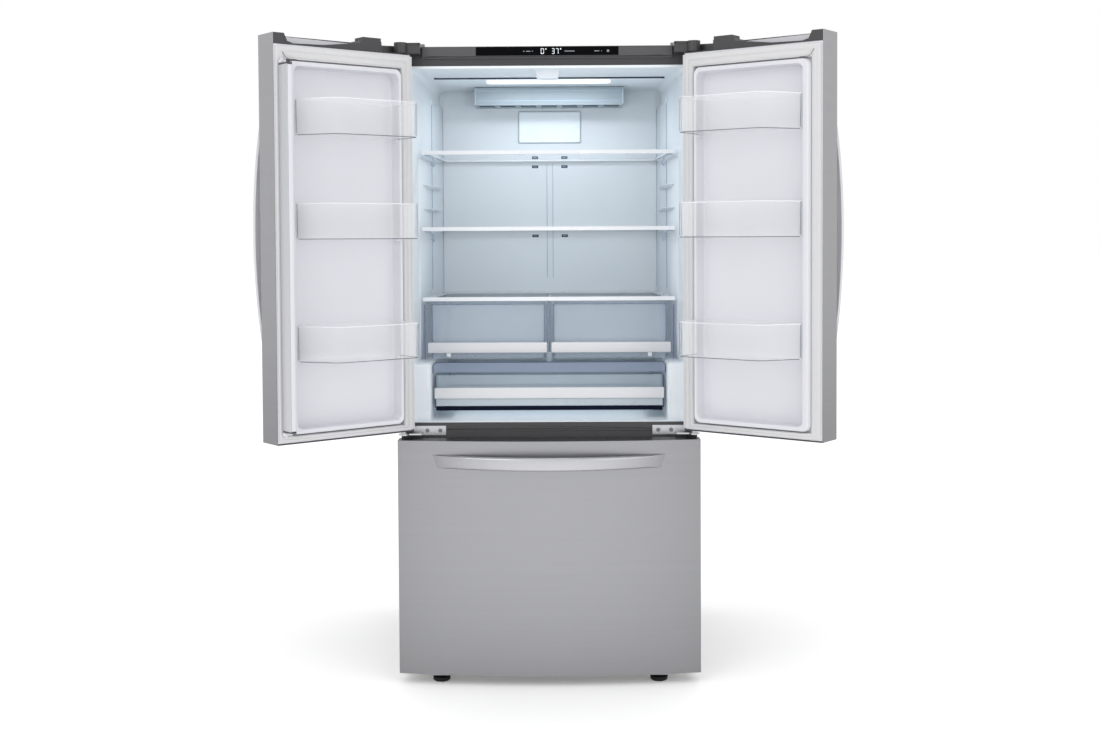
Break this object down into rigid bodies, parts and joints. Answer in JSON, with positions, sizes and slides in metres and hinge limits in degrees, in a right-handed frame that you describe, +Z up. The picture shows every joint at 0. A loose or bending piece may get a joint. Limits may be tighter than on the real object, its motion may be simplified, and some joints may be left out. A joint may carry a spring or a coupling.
{
  "type": "french door refrigerator",
  "caption": "Free-standing refrigerator with two hinged upper doors, glass shelves, clear drawers and a bowed bottom freezer drawer with bar handles.",
  "frame": {"origin": "on the floor, under the middle of the space the object fills with both doors open", "axes": "+X to the object's right seen from the front, +Y to the back, +Z up"},
  "size_m": [1.5633, 1.086, 1.777],
  "materials": {
    "cabinet_paint": "satin textured grey paint",
    "galvanised": "dull zinc",
    "foam": "rigid foam",
    "liner_white": "satin white moulded plastic",
    "dark_trim": "dark grey plastic",
    "housing_grey": "mid grey plastic",
    "display_black": "gloss black window",
    "hinge_steel": "zinc plated steel",
    "lamp_lens": "frosted lens",
    "shelf_pane": "clear tempered glass",
    "shelf_trim": "white trim",
    "rail_steel": "zinc plated steel",
    "rubber_black": "black rubber",
    "black_paint": "gloss black paint",
    "aluminium_fins": "mill finish",
    "fan_plastic": "black plastic",
    "stainless": "horizontally brushed stainless steel",
    "handle_steel": "lengthwise brushed stainless steel",
    "door_liner_white": "satin white moulded plastic",
    "gasket_grey": "light grey magnetic gasket",
    "flipper_grey": "light grey metal",
    "bin_clear": "clear plastic",
    "basket_plastic": "white plastic",
    "crisper_smoke": "smoky blue clear plastic",
    "pantry_clear": "clear plastic with a blue tint"
  },
  "bodies": {
    "cabinet": {"cabinet_shell": "cabinet_paint", "rear_panel": "galvanised", "base_frame": "galvanised", "cabinet_foam": "foam", "fridge_liner": "liner_white", "freezer_liner": "liner_white", "divider_cover": "dark_trim", "control_housing": "housing_grey", "display_window": "display_black", "door_hinges": "hinge_steel", "hinge_covers": "dark_trim", "hinge_bolts": "hinge_steel", "air_duct": "liner_white", "ceiling_lamp": "lamp_lens", "shelf_glass": "shelf_pane", "shelf_frames": "shelf_trim", "crisper_frame": "crisper_smoke", "liner_fittings": "shelf_trim", "drawer_rails": "rail_steel", "front_feet": "rubber_black", "compressor": "black_paint", "condenser": "black_paint", "machine_cover": "galvanised", "evaporator": "aluminium_fins"},
    "rear_rollers": {"rear_rollers": "rubber_black"},
    "condenser_fan": {"condenser_fan": "fan_plastic"},
    "evaporator_fan": {"evaporator_fan": "fan_plastic"},
    "left_door": {"left_door_skin": "stainless", "left_door_liner": "door_liner_white", "left_door_foam": "foam", "left_door_gasket": "gasket_grey", "left_door_caps": "dark_trim", "left_handle": "handle_steel"},
    "right_door": {"right_door_skin": "stainless", "right_door_liner": "door_liner_white", "right_door_foam": "foam", "right_door_gasket": "gasket_grey", "right_door_caps": "dark_trim", "right_handle": "handle_steel"},
    "flipper": {"flipper": "flipper_grey"},
    "freezer_drawer": {"freezer_skin": "stainless", "freezer_foam": "foam", "freezer_panel": "door_liner_white", "freezer_gasket": "gasket_grey", "freezer_caps": "dark_trim", "freezer_handle": "handle_steel", "freezer_basket": "basket_plastic", "freezer_slides": "rail_steel"},
    "freezer_tray": {"freezer_tray": "basket_plastic"},
    "left_crisper": {"left_crisper": "crisper_smoke"},
    "right_crisper": {"right_crisper": "crisper_smoke"},
    "left_humidity_slider": {"left_humidity_slider": "shelf_trim"},
    "right_humidity_slider": {"right_humidity_slider": "shelf_trim"},
    "pantry_bin": {"pantry_bin": "pantry_clear"},
    "left_bin_1": {"left_bin_1": "bin_clear"},
    "left_bin_2": {"left_bin_2": "bin_clear"},
    "left_bin_3": {"left_bin_3": "bin_clear"},
    "right_bin_1": {"right_bin_1": "bin_clear"},
    "right_bin_2": {"right_bin_2": "bin_clear"},
    "right_bin_3": {"right_bin_3": "bin_clear"}
  },
  "joints": [
    {"name": "left_door_hinge", "type": "hinge", "parent": "cabinet", "child": "left_door", "pos_m": [-0.401, -0.2285, 1.2], "axis": [0, 0, -1], "range_deg": [-141, 4]},
    {"name": "right_door_hinge", "type": "hinge", "parent": "cabinet", "child": "right_door", "pos_m": [0.401, -0.2285, 1.2], "axis": [0, 0, 1], "range_deg": [-143.5, 1.5]},
    {"name": "flipper_hinge", "type": "hinge", "parent": "left_door", "child": "flipper", "pos_m": [-0.67064, -0.50411, 1.2], "axis": [0, 0, 1], "range_deg": [-90, 0]},
    {"name": "freezer_drawer_slide", "type": "slide", "parent": "cabinet", "child": "freezer_drawer", "axis": [0, -1, 0], "range_m": [0, 0.43]},
    {"name": "freezer_tray_slide", "type": "slide", "parent": "freezer_drawer", "child": "freezer_tray", "axis": [0, 1, 0], "range_m": [0, 0.13]},
    {"name": "left_crisper_slide", "type": "slide", "parent": "cabinet", "child": "left_crisper", "axis": [0, -1, 0], "range_m": [0, 0.28]},
    {"name": "right_crisper_slide", "type": "slide", "parent": "cabinet", "child": "right_crisper", "axis": [0, -1, 0], "range_m": [0, 0.28]},
    {"name": "pantry_slide", "type": "slide", "parent": "cabinet", "child": "pantry_bin", "axis": [0, -1, 0], "range_m": [0, 0.33]},
    {"name": "left_humidity_slide", "type": "slide", "parent": "left_crisper", "child": "left_humidity_slider", "axis": [1, 0, 0], "range_m": [0, 0.04]},
    {"name": "right_humidity_slide", "type": "slide", "parent": "right_crisper", "child": "right_humidity_slider", "axis": [-1, 0, 0], "range_m": [0, 0.04]},
    {"name": "rear_roller_spin", "type": "hinge", "parent": "cabinet", "child": "rear_rollers", "pos_m": [0, 0.466, 0.019], "axis": [1, 0, 0], "continuous": true},
    {"name": "condenser_fan_spin", "type": "hinge", "parent": "cabinet", "child": "condenser_fan", "pos_m": [-0.09, 0.426, 0.15], "axis": [1, 0, 0], "continuous": true},
    {"name": "evaporator_fan_spin", "type": "hinge", "parent": "cabinet", "child": "evaporator_fan", "pos_m": [0, 0.416, 0.56], "axis": [0, 1, 0], "continuous": true},
    {"name": "left_bin_1_lift", "type": "slide", "parent": "left_door", "child": "left_bin_1", "axis": [0, 0, 1], "range_m": [0, 0.018]},
    {"name": "left_bin_2_lift", "type": "slide", "parent": "left_door", "child": "left_bin_2", "axis": [0, 0, 1], "range_m": [0, 0.018]},
    {"name": "left_bin_3_lift", "type": "slide", "parent": "left_door", "child": "left_bin_3", "axis": [0, 0, 1], "range_m": [0, 0.018]},
    {"name": "right_bin_1_lift", "type": "slide", "parent": "right_door", "child": "right_bin_1", "axis": [0, 0, 1], "range_m": [0, 0.018]},
    {"name": "right_bin_2_lift", "type": "slide", "parent": "right_door", "child": "right_bin_2", "axis": [0, 0, 1], "range_m": [0, 0.018]},
    {"name": "right_bin_3_lift", "type": "slide", "parent": "right_door", "child": "right_bin_3", "axis": [0, 0, 1], "range_m": [0, 0.018]}
  ]
}
